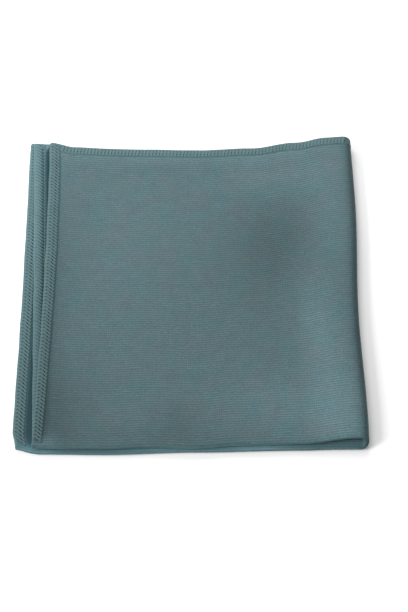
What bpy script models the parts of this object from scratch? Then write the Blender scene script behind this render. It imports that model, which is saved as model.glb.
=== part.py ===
"""A microfibre cloth, 40 x 40 cm, folded in quarters and lying on a table.

The flat cloth is one thin slab with a thicker, round-edged hem on all sides. It is folded twice: first
the far half under the near half, with the crease at the front, and then the right half under the left
half, with the crease at the right. That leaves four quarters on each other, called top, second, third
and bottom, whose hems all lie at the left and at the back. The right crease is an open roll, and the
panel dips inside the hems, the roll and the front crease.

Lengths are in metres. X runs to the right, Y to the back and Z up. The origin is the middle of the
underside of the folded cloth.
"""

import math
from collections import namedtuple

import bmesh
import bpy

# The flat cloth.
FLAT_WIDTH = 0.400
FLAT_LENGTH = 0.400
SHEET = 0.0011

# The hem: half its thickness at each distance from the cloth's edge. The hems that end at the back
# are narrower than those at the sides, and the front crease presses the hem as thin as the sheet.
HemRow = namedtuple("HemRow", "inward half")
HEM = (
    HemRow(inward=0.0, half=0.00040),
    HemRow(inward=0.0005, half=0.00062),
    HemRow(inward=0.0014, half=0.00075),
    HemRow(inward=0.0066, half=0.00070),
    HemRow(inward=0.0074, half=0.00055),
)
BACK_HEM_SHARE = 0.8
CORNER = 0.0014
PRESS_REACH = 0.0050

# The outline, seen from above.
RIGHT_EDGE = 0.1021
RIGHT_WAVE = 0.0010
RIGHT_WAVE_LENGTH = 0.140
RIGHT_WAVE_PEAK = 0.050
HALF_DEPTH = 0.100

# The middle of the whole outline, which comes to the origin.
MIDDLE_X = -0.00019
MIDDLE_Y = -0.00102

# Each quarter's left hem: where it lies at the back and at the front, how far it bows inwards in
# between and tucks in at the crease, and how far its back hem lies behind the line of the top one.
# Two quarters that share the front crease meet at the front.
Quarter = namedtuple("Quarter", "left_at_back left_at_front bow tuck back_shift")
TOP = Quarter(left_at_back=-0.0904, left_at_front=-0.0904, bow=0.0015, tuck=0.0, back_shift=0.0)
SECOND = Quarter(left_at_back=-0.1010, left_at_front=-0.0904, bow=0.0004, tuck=0.0, back_shift=0.0004)
THIRD = Quarter(left_at_back=-0.1035, left_at_front=-0.1024, bow=0.0007, tuck=0.0021, back_shift=0.0012)
BOTTOM = Quarter(left_at_back=-0.1029, left_at_front=-0.1024, bow=0.0007, tuck=0.0021, back_shift=-0.0012)
TUCK_START = 0.955

# The back hem dips in the middle. Each row gives its place at one distance from the left.
EdgeRow = namedtuple("EdgeRow", "x y")
BACK_EDGE = (
    EdgeRow(x=-0.1035, y=0.0996),
    EdgeRow(x=-0.0890, y=0.0985),
    EdgeRow(x=-0.0740, y=0.0953),
    EdgeRow(x=-0.0400, y=0.0937),
    EdgeRow(x=0.0050, y=0.0928),
    EdgeRow(x=0.0380, y=0.0944),
    EdgeRow(x=0.0660, y=0.0986),
    EdgeRow(x=0.0860, y=0.1019),
    EdgeRow(x=0.1000, y=0.1024),
)

# The front crease of the upper pair of quarters, and that of the lower pair, which stands proud.
UPPER_CREASE = (
    EdgeRow(x=-0.0910, y=-0.1030),
    EdgeRow(x=-0.0500, y=-0.1032),
    EdgeRow(x=-0.0250, y=-0.1021),
    EdgeRow(x=0.0020, y=-0.1028),
    EdgeRow(x=0.0280, y=-0.1011),
    EdgeRow(x=0.0650, y=-0.1001),
    EdgeRow(x=0.0950, y=-0.0975),
)
LOWER_CREASE = (
    EdgeRow(x=-0.1020, y=-0.1024),
    EdgeRow(x=-0.0880, y=-0.1052),
    EdgeRow(x=-0.0500, y=-0.1056),
    EdgeRow(x=0.0020, y=-0.1041),
    EdgeRow(x=0.0640, y=-0.1029),
    EdgeRow(x=0.0830, y=-0.1024),
    EdgeRow(x=0.1000, y=-0.1023),
)

# The free heights in the stack: between pressed sheets, at the creases, and what the hems add. The
# hems' share goes down to nothing at a reach of its own on each of the three levels.
PRESSED_GAP = 0.00045
TOP_GAP = 0.00055
PAIR_GAP_AT_CREASE = 0.0008
PAIR_GAP_AT_BACK = 0.00035
BOOK_GAP_AT_CREASE = 0.0030
HEM_GAP = 0.00075
HEM_LIFT = 0.0005
HEM_WIDTH = 0.0070
LOWER_REACH = 0.007
BOOK_REACH = 0.014
UPPER_REACH = 0.034
FRONT_TAPER = 0.026
RIGHT_TAPER = 0.034

# Soft swells where the top quarter stands off the second one.
Swell = namedtuple("Swell", "x y reach_x reach_y turn_deg rise")
SWELLS = (
    Swell(x=0.004, y=0.030, reach_x=0.040, reach_y=0.044, turn_deg=-10, rise=0.0020),
    Swell(x=0.060, y=-0.070, reach_x=0.060, reach_y=0.026, turn_deg=0, rise=0.0009),
)

# How finely the flat cloth is divided before it is folded, and how near two places count as one.
BESIDE_HEM = (0.0035, 0.0070, 0.0115, 0.0170, 0.0240)
NEAR_PANEL_STEPS = 12
FAR_PANEL_STEPS = 11
FRONT_CREASE_STEPS = 6
RIGHT_CREASE_STEPS = 8
SAME_PLACE = 1e-6

# Sizes that follow from those above. A pair is two sheets and the gap between them.
PAIR_RADIUS = (SHEET + PAIR_GAP_AT_CREASE) / 2
PAIR_HEIGHT = 2 * SHEET + PAIR_GAP_AT_CREASE
BOOK_RADIUS = (PAIR_HEIGHT + BOOK_GAP_AT_CREASE) / 2
OUTER_RADIUS = BOOK_RADIUS + PAIR_HEIGHT / 2
FRONT_ARC = math.pi * PAIR_RADIUS
RIGHT_ARC = math.pi * BOOK_RADIUS
FRONT_START = (FLAT_LENGTH - FRONT_ARC) / 2
FRONT_END = FRONT_START + FRONT_ARC
TOP_REACH = RIGHT_EDGE - OUTER_RADIUS - TOP.left_at_front
BOTTOM_REACH = RIGHT_EDGE - OUTER_RADIUS - BOTTOM.left_at_front
RIGHT_START = (FLAT_WIDTH - RIGHT_ARC) * TOP_REACH / (TOP_REACH + BOTTOM_REACH)
RIGHT_END = RIGHT_START + RIGHT_ARC


def ease(value):
    """Goes smoothly from 0 to 1 as value goes from 0 to 1."""
    value = min(max(value, 0.0), 1.0)
    return value * value * (3 - 2 * value)


def mix(start, end, share):
    """Gives the value that lies the given share of the way from start to end."""
    return start + (end - start) * share


def read_edge(rows, x):
    """Reads an edge's place at x from its table, eased from row to row."""
    if x <= rows[0].x:
        return rows[0].y
    for before, after in zip(rows, rows[1:]):
        if x <= after.x:
            return mix(before.y, after.y, ease((x - before.x) / (after.x - before.x)))
    return rows[-1].y


def right_edge(y):
    """Gives how far right the folded cloth reaches at y."""
    return RIGHT_EDGE + RIGHT_WAVE * math.cos(math.tau * (y - RIGHT_WAVE_PEAK) / RIGHT_WAVE_LENGTH)


def left_edge(quarter, run):
    """Gives a quarter's left hem, where run goes from 0 at the back to 1 at the front crease."""
    line = mix(quarter.left_at_back, quarter.left_at_front, run) + quarter.bow * 4 * run * (1 - run)
    return line + quarter.tuck * ease((run - TUCK_START) / (1 - TUCK_START))


def half_sheet(across, along):
    """Gives half the cloth's thickness at a point of the flat cloth."""
    from_side = min(across, FLAT_WIDTH - across)
    from_end = min(along, FLAT_LENGTH - along) / BACK_HEM_SHARE
    inward = min(from_side, from_end)
    half = HEM[-1].half
    for before, after in zip(HEM, HEM[1:]):
        if before.inward <= inward + SAME_PLACE < after.inward:
            half = mix(before.half, after.half, (inward - before.inward) / (after.inward - before.inward))
    off_crease = max(FRONT_START - along, along - FRONT_END)
    return mix(half, min(half, SHEET / 2), 1 - ease(off_crease / PRESS_REACH))


def round_corner(across, along):
    """Draws the flat cloth's square corners in, so that they are round."""
    inner_x = min(max(across, CORNER), FLAT_WIDTH - CORNER)
    inner_y = min(max(along, CORNER), FLAT_LENGTH - CORNER)
    off_x, off_y = across - inner_x, along - inner_y
    if not off_x or not off_y:
        return across, along
    pull = max(abs(off_x), abs(off_y)) / math.hypot(off_x, off_y)
    return inner_x + off_x * pull, inner_y + off_y * pull


def hem_pile(x, left, from_back, reach):
    """Goes from 1 over the left and the back hem to 0 at the given reach from both."""
    off_left = ease((x - left - HEM_WIDTH) / reach)
    off_back = ease((from_back - HEM_WIDTH) / (reach + HEM_WIDTH))
    return 1 - off_left * off_back


def swell_height(x, y):
    """Adds up the soft swells of the top quarter at a place seen from above."""
    height = 0.0
    for swell in SWELLS:
        turn = math.radians(swell.turn_deg)
        east = (x - swell.x) * math.cos(turn) + (y - swell.y) * math.sin(turn)
        north = (y - swell.y) * math.cos(turn) - (x - swell.x) * math.sin(turn)
        height += swell.rise * math.exp(-(east / swell.reach_x) ** 2 - (north / swell.reach_y) ** 2)
    return height


def stack_gaps(x, y):
    """Gives the free heights, bottom to top, under and between the four sheets, seen from above."""
    run = 0.5 - y / (2 * HALF_DEPTH)
    from_back = read_edge(BACK_EDGE, x) - y
    from_right = ease((right_edge(y) - OUTER_RADIUS - x) / RIGHT_TAPER)
    from_front = ease((y - read_edge(UPPER_CREASE, x) - PAIR_RADIUS) / FRONT_TAPER)
    inside = from_right * from_front
    lower = hem_pile(x, left_edge(THIRD, run), from_back, LOWER_REACH)
    book = hem_pile(x, left_edge(SECOND, run), from_back, BOOK_REACH)
    upper = hem_pile(x, left_edge(TOP, run), from_back, UPPER_REACH)
    at_back = 1 - ease((from_back - HEM_WIDTH) / UPPER_REACH)
    crease_gap = PAIR_GAP_AT_CREASE + PAIR_GAP_AT_BACK * at_back
    return (
        HEM_LIFT * lower,
        mix(crease_gap, PRESSED_GAP + HEM_GAP * lower, inside),
        mix(BOOK_GAP_AT_CREASE, PRESSED_GAP + HEM_GAP * book, from_right),
        mix(crease_gap, TOP_GAP + HEM_GAP * upper + swell_height(x, y), inside),
    )


def fold_to_front(along):
    """Folds the far half under: where a point lies between back and front, and on which sheet.

    Returns the share of the way from the back hem to the front crease, the turn round the crease
    from 0 on the first sheet to pi on the one below it, and the matching share from 0 to 1.
    """
    run = min(along, FLAT_LENGTH - along, FRONT_START) / FRONT_START
    turn = min(max((along - FRONT_START) / PAIR_RADIUS, 0.0), math.pi)
    return run, turn, (1 - math.cos(turn)) / 2


def fold_point(across, along, depth):
    """Moves a point of the flat cloth to its place in the folded one.

    across and along place it in the flat cloth, and depth is its height over the mid surface.
    """
    run, front_turn, sheet_share = fold_to_front(along)
    crease_x = right_edge(mix(HALF_DEPTH, -HALF_DEPTH, run)) - OUTER_RADIUS

    # The second fold, at the right.
    outer, inner, panel_share = TOP, SECOND, 1.0
    if across < RIGHT_START:
        panel_share = across / RIGHT_START
    elif across > RIGHT_END:
        outer, inner = BOTTOM, THIRD
        panel_share = (FLAT_WIDTH - across) / (FLAT_WIDTH - RIGHT_END)
    left = mix(left_edge(outer, run), left_edge(inner, run), sheet_share)
    x = mix(left, crease_x, panel_share)

    # The place between back and front. Round the right crease the upper pair's lines turn into
    # the lower pair's.
    book_turn = min(max((across - RIGHT_START) / BOOK_RADIUS, 0.0), math.pi)
    book_share = ease(book_turn / math.pi)
    back_shift = mix(mix(TOP.back_shift, BOTTOM.back_shift, book_share),
                     mix(SECOND.back_shift, THIRD.back_shift, book_share), sheet_share)
    back = read_edge(BACK_EDGE, x) + back_shift
    front = mix(read_edge(UPPER_CREASE, x), read_edge(LOWER_CREASE, x), book_share)
    y = mix(back, front + PAIR_RADIUS + SHEET / 2, run)

    # The height in the stack. At the front crease the sheet turns about the pair's middle, and at
    # the right crease about the middle of the stack.
    floor, lower_gap, book_gap, upper_gap = stack_gaps(x, y)
    lower_spread, upper_spread = (SHEET + lower_gap) / 2, (SHEET + upper_gap) / 2
    lower_middle = floor + SHEET / 2 + lower_spread
    upper_middle = lower_middle + lower_spread + SHEET + book_gap + upper_spread
    off_middle = (mix(upper_spread, lower_spread, book_share) + depth) * math.cos(front_turn)
    y -= (PAIR_RADIUS + depth) * math.sin(front_turn)
    if book_turn == 0.0:
        return x, y, upper_middle + off_middle
    if book_turn == math.pi:
        return x, y, lower_middle - off_middle
    radius = (upper_middle - lower_middle) / 2 + off_middle
    x += radius * math.sin(book_turn)
    return x, y, (lower_middle + upper_middle) / 2 + radius * math.cos(book_turn)


def even_steps(start, end, count):
    """Lists count places that divide the stretch from start to end, with its end left out."""
    return [mix(start, end, step / count) for step in range(count)]


def cut_places(total, hem_share, crease_start, crease_end, crease_steps):
    """Lists where the flat cloth is divided in one direction, closely at the crease and the hems."""
    hem_end = HEM[-1].inward * hem_share
    beside = [row.inward * hem_share for row in HEM[1:]] + [hem_end + step for step in BESIDE_HEM]
    places = beside[:-1]
    places += even_steps(beside[-1], crease_start - PRESS_REACH, NEAR_PANEL_STEPS)
    places += [crease_start - PRESS_REACH]
    places += even_steps(crease_start, crease_end, crease_steps)
    places += [crease_end]
    places += even_steps(crease_end + PRESS_REACH, total - beside[-1], FAR_PANEL_STEPS)
    places += [total - place for place in reversed(beside)]
    return places


def cloth_material():
    """Makes the cloth's plain blue-green finish."""
    material = bpy.data.materials.new("teal microfibre")
    material.use_nodes = True
    shader = material.node_tree.nodes["Principled BSDF"]
    shader.inputs["Base Color"].default_value = (0.125, 0.215, 0.225, 1.0)
    shader.inputs["Roughness"].default_value = 0.8
    shader.inputs["Metallic"].default_value = 0.0
    return material


def make_cloth():
    """Makes the flat cloth as a divided slab and folds it in quarters."""
    shape = bmesh.new()
    bmesh.ops.create_cube(shape, size=1.0)
    for vert in shape.verts:
        vert.co.x = (vert.co.x + 0.5) * FLAT_WIDTH
        vert.co.y = (vert.co.y + 0.5) * FLAT_LENGTH
    across_cuts = cut_places(FLAT_WIDTH, 1.0, RIGHT_START, RIGHT_END, RIGHT_CREASE_STEPS)
    along_cuts = cut_places(FLAT_LENGTH, BACK_HEM_SHARE, FRONT_START, FRONT_END, FRONT_CREASE_STEPS)
    cuts = [((place, 0, 0), (1, 0, 0)) for place in across_cuts]
    cuts += [((0, place, 0), (0, 1, 0)) for place in along_cuts]
    for point, direction in cuts:
        bmesh.ops.bisect_plane(
            shape,
            geom=shape.verts[:] + shape.edges[:] + shape.faces[:],
            dist=SAME_PLACE,
            plane_co=point,
            plane_no=direction,
        )
    for vert in shape.verts:
        across, along, side = vert.co
        depth = math.copysign(half_sheet(across, along), side)
        x, y, z = fold_point(*round_corner(across, along), depth)
        vert.co = x - MIDDLE_X, y - MIDDLE_Y, z
    # The flat cloth runs from back to front, which mirrors it, so its faces are turned round.
    bmesh.ops.reverse_faces(shape, faces=shape.faces[:])
    mesh = bpy.data.meshes.new("cloth")
    shape.to_mesh(mesh)
    shape.free()
    mesh.materials.append(cloth_material())
    mesh.shade_smooth()
    cloth = bpy.data.objects.new("cloth", mesh)
    bpy.context.collection.objects.link(cloth)
    return cloth


def main():
    """Clears the scene and makes the cloth."""
    for leftover in list(bpy.data.objects):
        bpy.data.objects.remove(leftover, do_unlink=True)
    make_cloth()


main()
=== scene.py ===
"""Looks of a microfibre cloth, 40 x 40 cm, folded in quarters and lying on a pale floor.

The cloth is one fine sheet, folded as its solid is: first the far half under the near half, with
the crease at the front, then the right half under the left half, with the crease at the right. Its
four hems carry an overlocked thread, which goes through the same folds.

Lengths are in metres. X runs to the right, Y to the back and Z up.
"""

import logging
import math
from dataclasses import dataclass, field
from enum import Enum

import bmesh
import bpy
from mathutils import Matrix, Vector, noise


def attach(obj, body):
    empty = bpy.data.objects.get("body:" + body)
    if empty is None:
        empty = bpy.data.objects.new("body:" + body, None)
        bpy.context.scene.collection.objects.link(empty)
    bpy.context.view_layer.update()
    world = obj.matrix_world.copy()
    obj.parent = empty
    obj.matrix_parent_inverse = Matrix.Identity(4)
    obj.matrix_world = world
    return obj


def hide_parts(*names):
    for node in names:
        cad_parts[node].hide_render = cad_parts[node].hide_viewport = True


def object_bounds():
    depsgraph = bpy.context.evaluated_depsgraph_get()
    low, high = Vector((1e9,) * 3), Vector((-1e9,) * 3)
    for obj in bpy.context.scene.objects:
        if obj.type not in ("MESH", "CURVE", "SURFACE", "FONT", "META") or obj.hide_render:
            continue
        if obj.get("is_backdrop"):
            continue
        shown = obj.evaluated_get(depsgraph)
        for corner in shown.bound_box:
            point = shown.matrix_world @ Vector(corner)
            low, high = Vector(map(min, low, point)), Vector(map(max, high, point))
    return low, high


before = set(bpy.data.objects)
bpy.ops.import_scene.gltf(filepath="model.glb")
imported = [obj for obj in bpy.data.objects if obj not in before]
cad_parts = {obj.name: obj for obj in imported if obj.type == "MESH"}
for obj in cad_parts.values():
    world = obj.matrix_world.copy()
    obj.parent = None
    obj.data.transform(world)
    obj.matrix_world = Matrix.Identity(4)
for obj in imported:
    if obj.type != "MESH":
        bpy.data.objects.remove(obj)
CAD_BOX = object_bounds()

MM = 0.001
LOG = logging.getLogger("cloth")
FLAT_MAP = "OFBake"

# Where the lines of an unevenness lie in the noise: how far apart, and where the first one starts.
WANDER_STEP = 7.3
WANDER_START = (0.5, 1.7)


class Face(Enum):
    """The two faces of the flat cloth."""

    OUTER = 1
    INNER = -1


def ease(value: float) -> float:
    """Goes smoothly from 0 to 1 as value goes from 0 to 1."""
    value = min(max(value, 0.0), 1.0)
    return value * value * (3 - 2 * value)


def mix(start: float, end: float, share: float) -> float:
    """Gives the value that lies the given share of the way from start to end."""
    return start + (end - start) * share


def both(one: float, other: float) -> float:
    """Joins two shares so that each alone can reach 1."""
    return 1 - (1 - one) * (1 - other)


def wander(place: float, line: float) -> float:
    """Gives a soft unevenness from -1 to 1 along a numbered line."""
    return noise.noise(Vector((place, line * WANDER_STEP + WANDER_START[0], WANDER_START[1])))


@dataclass(frozen=True)
class EdgeRow:
    """One row of an edge's table: how far back or front the edge lies at x."""

    x: float
    y: float


def read_edge(rows: tuple[EdgeRow, ...], x: float) -> float:
    """Reads an edge's place at x from its table, eased from row to row.

    Args:
        rows: the table, from left to right.
        x: the place from left to right.

    Returns:
        The edge's place from front to back.
    """
    if x <= rows[0].x:
        return rows[0].y
    for before, after in zip(rows, rows[1:]):
        if x <= after.x:
            return mix(before.y, after.y, ease((x - before.x) / (after.x - before.x)))
    return rows[-1].y


@dataclass(frozen=True)
class Quarter:
    """Where one quarter's left hem lies, from the back to the front, and the light or shade painted on it
    there.

    The hem's line has a bow in it, and tucks in at the front crease. The back hem has a shift.
    """

    left_at_back: float
    left_at_front: float
    bow: float
    back_shift: float = 0.0
    tuck: float = 0.0
    tuck_start: float = 0.955
    painted_shading_at_back: float = 0.0
    painted_shading_at_front: float = 0.0

    def left(self, run: float) -> float:
        """Gives the left hem's place, where run goes from 0 at the back to 1 at the front."""
        line = mix(self.left_at_back, self.left_at_front, run) + self.bow * 4 * run * (1 - run)
        return line + self.tuck * ease((run - self.tuck_start) / (1 - self.tuck_start))

    def tone(self, run: float) -> float:
        """Gives the light or shade painted on the left hem, as a share of its brightness."""
        return mix(self.painted_shading_at_back, self.painted_shading_at_front, ease(run))


@dataclass(frozen=True)
class Swell:
    """A soft rise, or a hollow where rise is negative."""

    x: float
    y: float
    reach_x: float
    reach_y: float
    turn_deg: float
    rise: float

    def height(self, x: float, y: float) -> float:
        """Gives the swell's height at a place seen from above.

        Args:
            x: the place from left to right.
            y: the place from front to back.

        Returns:
            The height.
        """
        turn = math.radians(self.turn_deg)
        east = (x - self.x) * math.cos(turn) + (y - self.y) * math.sin(turn)
        north = (y - self.y) * math.cos(turn) - (x - self.x) * math.sin(turn)
        return self.rise * math.exp(-((east / self.reach_x) ** 2) - (north / self.reach_y) ** 2)


@dataclass(frozen=True)
class HemStep:
    """Half the hem's thickness at one distance from the cloth's edge, and the shade painted there between
    and beside its threads.
    """

    inward: float
    half: float
    painted_shade: float


@dataclass(frozen=True)
class FlatCloth:
    """The cut and hemmed cloth before it is folded.

    The hem's table goes from the edge inwards. The two cross hems, at the front and the back, have
    only a share of its width, and a share of its relief from relief_reach inwards. The left hem
    narrows within middle_reach of its middle, down to middle_share of its width.
    """

    width: float = 400 * MM
    length: float = 400 * MM
    half_sheet: float = 0.55 * MM
    corner: float = 1.4 * MM
    cross_share: float = 0.8
    middle_share: float = 0.82
    middle_reach: float = 120 * MM
    cross_relief: float = 0.4
    relief_reach: float = 1.60 * MM
    hem: tuple[HemStep, ...] = (
        HemStep(0.00 * MM, 0.16 * MM, 0.0),
        HemStep(0.15 * MM, 0.42 * MM, 0.0),
        HemStep(0.45 * MM, 0.60 * MM, 0.0),
        HemStep(0.90 * MM, 0.72 * MM, 0.0),
        HemStep(1.60 * MM, 0.76 * MM, 0.2),
        HemStep(2.15 * MM, 0.72 * MM, 0.7),
        HemStep(3.10 * MM, 0.70 * MM, 0.4),
        HemStep(3.80 * MM, 0.54 * MM, 0.7),
        HemStep(4.60 * MM, 0.48 * MM, 0.8),
        HemStep(5.40 * MM, 0.52 * MM, 0.7),
        HemStep(5.95 * MM, 0.56 * MM, 0.5),
        HemStep(6.50 * MM, 0.62 * MM, 0.4),
        HemStep(6.95 * MM, 0.58 * MM, 0.3),
        HemStep(7.40 * MM, 0.48 * MM, 0.3),
        HemStep(7.90 * MM, 0.51 * MM, 0.1),
        HemStep(8.60 * MM, 0.55 * MM, 0.0),
    )

    def side_share(self, across: float, along: float) -> float:
        """Gives the side hem's width as a share of the table's: the left one narrows to its middle.

        Args:
            across: the place from the left hem, which tells the two side hems apart.
            along: the place from the hem that ends at the back.

        Returns:
            The share.
        """
        off_middle = abs(along - self.length / 2) / self.middle_reach
        share = mix(self.middle_share, 1.0, min(off_middle, 1.0))
        return share if across < self.width / 2 else 1.0

    def from_side(self, across: float, along: float) -> float:
        """Gives how far in from the nearer side hem's edge a point lies, in the table's measure."""
        return min(across, self.width - across) / self.side_share(across, along)

    def from_edge(self, across: float, along: float) -> float:
        """Gives how far a point lies in its hem, of which the two cross hems are narrower."""
        from_end = min(along, self.length - along) / self.cross_share
        return min(self.from_side(across, along), from_end)

    def hem_at(self, across: float, along: float) -> HemStep:
        """Gives the hem's step at a point, which has less relief in the cross hems.

        Args:
            across: the place from the left hem.
            along: the place from the hem that ends at the back.

        Returns:
            The step at the point's distance from the edge.
        """
        step = self.read_hem(self.from_edge(across, along))
        if min(across, self.width - across) < min(along, self.length - along):
            return step
        relief = mix(1.0, self.cross_relief, ease(step.inward / self.relief_reach))
        half = mix(self.half_sheet, step.half, relief)
        # The cross hems also get less painted shade between their threads.
        return HemStep(step.inward, half, step.painted_shade * relief * relief)

    def read_hem(self, inward: float) -> HemStep:
        """Reads the hem's table at a distance from the edge.

        Args:
            inward: the distance.

        Returns:
            The step there, between the two nearest ones of the table.
        """
        if inward >= self.hem[-1].inward:
            return self.hem[-1]
        pairs = zip(self.hem, self.hem[1:])
        before, after = next(pair for pair in pairs if inward <= pair[1].inward)
        share = (inward - before.inward) / (after.inward - before.inward)
        half = mix(before.half, after.half, share)
        return HemStep(inward, half, mix(before.painted_shade, after.painted_shade, share))

    def round_corner(self, across: float, along: float) -> tuple[float, float]:
        """Draws the square corners of the cut in, so that they are round.

        Args:
            across: the place from the left hem.
            along: the place from the hem that ends at the back.

        Returns:
            The same point with its corner rounded.
        """
        inner_x = min(max(across, self.corner), self.width - self.corner)
        inner_y = min(max(along, self.corner), self.length - self.corner)
        off_x, off_y = across - inner_x, along - inner_y
        if not off_x or not off_y:
            return across, along
        pull = max(abs(off_x), abs(off_y)) / math.hypot(off_x, off_y)
        return inner_x + off_x * pull, inner_y + off_y * pull


@dataclass(frozen=True)
class FoldedShape:
    """The shape in which the cloth lies: its outline from above and the free height in its stack.

    The front crease joins the top and the second quarter to one pair, and the third and the bottom
    one to the other. The right crease joins the two pairs like the covers of a book.
    """

    flat: FlatCloth = FlatCloth()
    top: Quarter = Quarter(
        left_at_back=-90.4 * MM,
        left_at_front=-90.4 * MM,
        bow=1.5 * MM,
        painted_shading_at_back=0.05,
        painted_shading_at_front=-0.22,
    )
    second: Quarter = Quarter(
        left_at_back=-101.0 * MM,
        left_at_front=-90.4 * MM,
        bow=0.4 * MM,
        back_shift=0.4 * MM,
        painted_shading_at_back=0.24,
    )
    third: Quarter = Quarter(
        left_at_back=-103.5 * MM,
        left_at_front=-102.4 * MM,
        bow=0.7 * MM,
        back_shift=1.2 * MM,
        tuck=2.1 * MM,
        painted_shading_at_back=0.26,
        painted_shading_at_front=-0.07,
    )
    bottom: Quarter = Quarter(
        left_at_back=-102.9 * MM,
        left_at_front=-102.4 * MM,
        bow=0.7 * MM,
        back_shift=-1.2 * MM,
        tuck=2.1 * MM,
    )
    back_edge: tuple[EdgeRow, ...] = (
        EdgeRow(-103.5 * MM, 99.6 * MM),
        EdgeRow(-89.0 * MM, 98.5 * MM),
        EdgeRow(-74.0 * MM, 95.3 * MM),
        EdgeRow(-40.0 * MM, 93.7 * MM),
        EdgeRow(5.0 * MM, 92.8 * MM),
        EdgeRow(38.0 * MM, 94.4 * MM),
        EdgeRow(66.0 * MM, 98.6 * MM),
        EdgeRow(86.0 * MM, 101.9 * MM),
        EdgeRow(100.0 * MM, 102.4 * MM),
    )
    upper_crease: tuple[EdgeRow, ...] = (
        EdgeRow(-91.0 * MM, -103.0 * MM),
        EdgeRow(-50.0 * MM, -103.2 * MM),
        EdgeRow(-25.0 * MM, -102.1 * MM),
        EdgeRow(2.0 * MM, -102.8 * MM),
        EdgeRow(28.0 * MM, -101.1 * MM),
        EdgeRow(65.0 * MM, -100.1 * MM),
        EdgeRow(95.0 * MM, -97.5 * MM),
    )
    lower_crease: tuple[EdgeRow, ...] = (
        EdgeRow(-102.0 * MM, -102.4 * MM),
        EdgeRow(-88.0 * MM, -105.2 * MM),
        EdgeRow(-50.0 * MM, -105.6 * MM),
        EdgeRow(2.0 * MM, -104.1 * MM),
        EdgeRow(64.0 * MM, -102.9 * MM),
        EdgeRow(83.0 * MM, -102.4 * MM),
        EdgeRow(100.0 * MM, -102.3 * MM),
    )
    right: float = 102.1 * MM
    right_wave: float = 1.0 * MM
    right_wave_length: float = 140 * MM
    right_wave_peak: float = 50 * MM
    half_depth: float = 100 * MM
    middle: tuple[float, float] = (-0.19 * MM, -1.02 * MM)
    pressed_gap: float = 0.45 * MM
    pair_gap_at_crease: float = 0.8 * MM
    more_pair_gap_at_back: float = 0.35 * MM
    book_gap_at_crease: float = 3.0 * MM
    hem_gap: float = 0.75 * MM
    hem_floor: float = 0.50 * MM
    front_taper: float = 26 * MM
    right_taper: float = 34 * MM
    swells: tuple[Swell, ...] = (
        Swell(4 * MM, 30 * MM, 40 * MM, 44 * MM, -10, 2.0 * MM),
        Swell(60 * MM, -70 * MM, 60 * MM, 26 * MM, 0, 0.9 * MM),
    )
    edge_wander: float = 0.30 * MM
    edge_wander_length: float = 13 * MM
    edge_wander_reach: float = 12 * MM
    ripple: float = 0.10 * MM
    ripple_length: float = 17 * MM
    ripple_stretch: float = 1.4
    hem_width: float = 7.0 * MM
    lower_reach: float = 7 * MM
    book_reach: float = 14 * MM
    upper_reach: float = 34 * MM
    back_lines: int = 5

    @property
    def sheet(self) -> float:
        """The sheet's thickness."""
        return 2 * self.flat.half_sheet

    @property
    def pair_radius(self) -> float:
        """The radius of a sheet's middle round the front crease."""
        return (self.sheet + self.pair_gap_at_crease) / 2

    @property
    def pair_height(self) -> float:
        """The height of two sheets and the gap between them, at a crease."""
        return 2 * self.sheet + self.pair_gap_at_crease

    @property
    def book_radius(self) -> float:
        """The radius of a pair's middle round the right crease."""
        return (self.pair_height + self.book_gap_at_crease) / 2

    @property
    def outer_radius(self) -> float:
        """The radius of the right roll's outside."""
        return self.book_radius + self.pair_height / 2

    @property
    def front_start(self) -> float:
        """Where the front crease starts in the flat cloth."""
        return (self.flat.length - math.pi * self.pair_radius) / 2

    @property
    def front_end(self) -> float:
        """Where the front crease ends in the flat cloth."""
        return (self.flat.length + math.pi * self.pair_radius) / 2

    @property
    def right_start(self) -> float:
        """Where the right crease starts in the flat cloth, so that all quarters share its width.

        Returns:
            The place from the left hem.
        """
        top_reach = self.right - self.outer_radius - self.top.left_at_front
        bottom_reach = self.right - self.outer_radius - self.bottom.left_at_front
        free = self.flat.width - math.pi * self.book_radius
        return free * top_reach / (top_reach + bottom_reach)

    @property
    def right_end(self) -> float:
        """Where the right crease ends in the flat cloth."""
        return self.right_start + math.pi * self.book_radius

    def right_edge(self, y: float) -> float:
        """Gives how far right the folded cloth reaches at y."""
        turn = math.tau * (y - self.right_wave_peak) / self.right_wave_length
        return self.right + self.right_wave * math.cos(turn)

    def front_turn(self, along: float) -> float:
        """Gives how far the sheet has turned in the front crease, from 0 to half a turn."""
        return min(max((along - self.front_start) / self.pair_radius, 0.0), math.pi)

    def book_turn(self, across: float) -> float:
        """Gives how far the sheet has turned in the right crease, from 0 to half a turn."""
        return min(max((across - self.right_start) / self.book_radius, 0.0), math.pi)

    def turned(self, across: float) -> float:
        """Gives how far the sheet has come round the right crease, from 0 above to 1 below."""
        return ease(self.book_turn(across) / math.pi)

    def hem_pile(self, x: float, left: float, back: float, reach: float) -> float:
        """Goes from 1 over the left and back hems to 0 further in.

        Args:
            x: the point's place from left to right.
            left: the place of the left hem's outer line.
            back: how far in front of the back hem's outer line the point lies.
            reach: how far the sheet above takes to come down from the hems.

        Returns:
            The share of the hems' extra height.
        """
        from_left = 1 - ease((x - left - self.hem_width) / reach)
        from_back = 1 - ease((back - self.hem_width) / (reach + self.hem_width))
        return both(from_left, from_back)

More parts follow.
